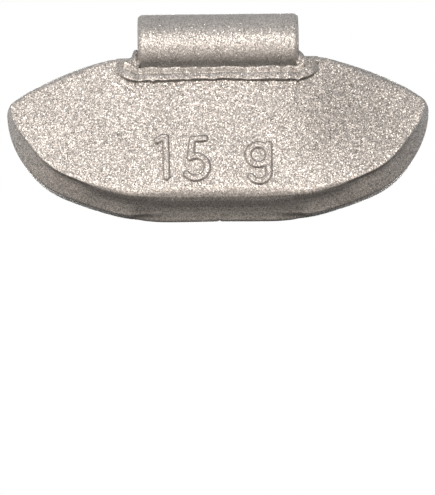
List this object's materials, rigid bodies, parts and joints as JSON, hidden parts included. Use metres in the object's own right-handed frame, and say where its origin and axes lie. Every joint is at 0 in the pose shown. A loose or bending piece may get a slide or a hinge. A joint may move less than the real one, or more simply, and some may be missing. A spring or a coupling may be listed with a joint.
{
  "type": "wheel balance weight",
  "caption": "Clip-on wheel balance weight: a curved die-cast zinc body with a sprung steel clip cast into its top.",
  "frame": {"origin": "on the axis of the clip's front bend, at the middle of the clip, where the edge of the rim's flange sits", "axes": "+X along the rim, +Y from the numbered face towards the lip of the clip, +Z out from the wheel's axis"},
  "size_m": [0.038, 0.0088, 0.0189],
  "materials": {
    "zinc": "silver metallic paint on a die casting",
    "clip": "silver metallic paint on spring steel"
  },
  "bodies": {
    "root": {"zinc_body": "zinc", "steel_clip": "clip"}
  },
  "joints": []
}
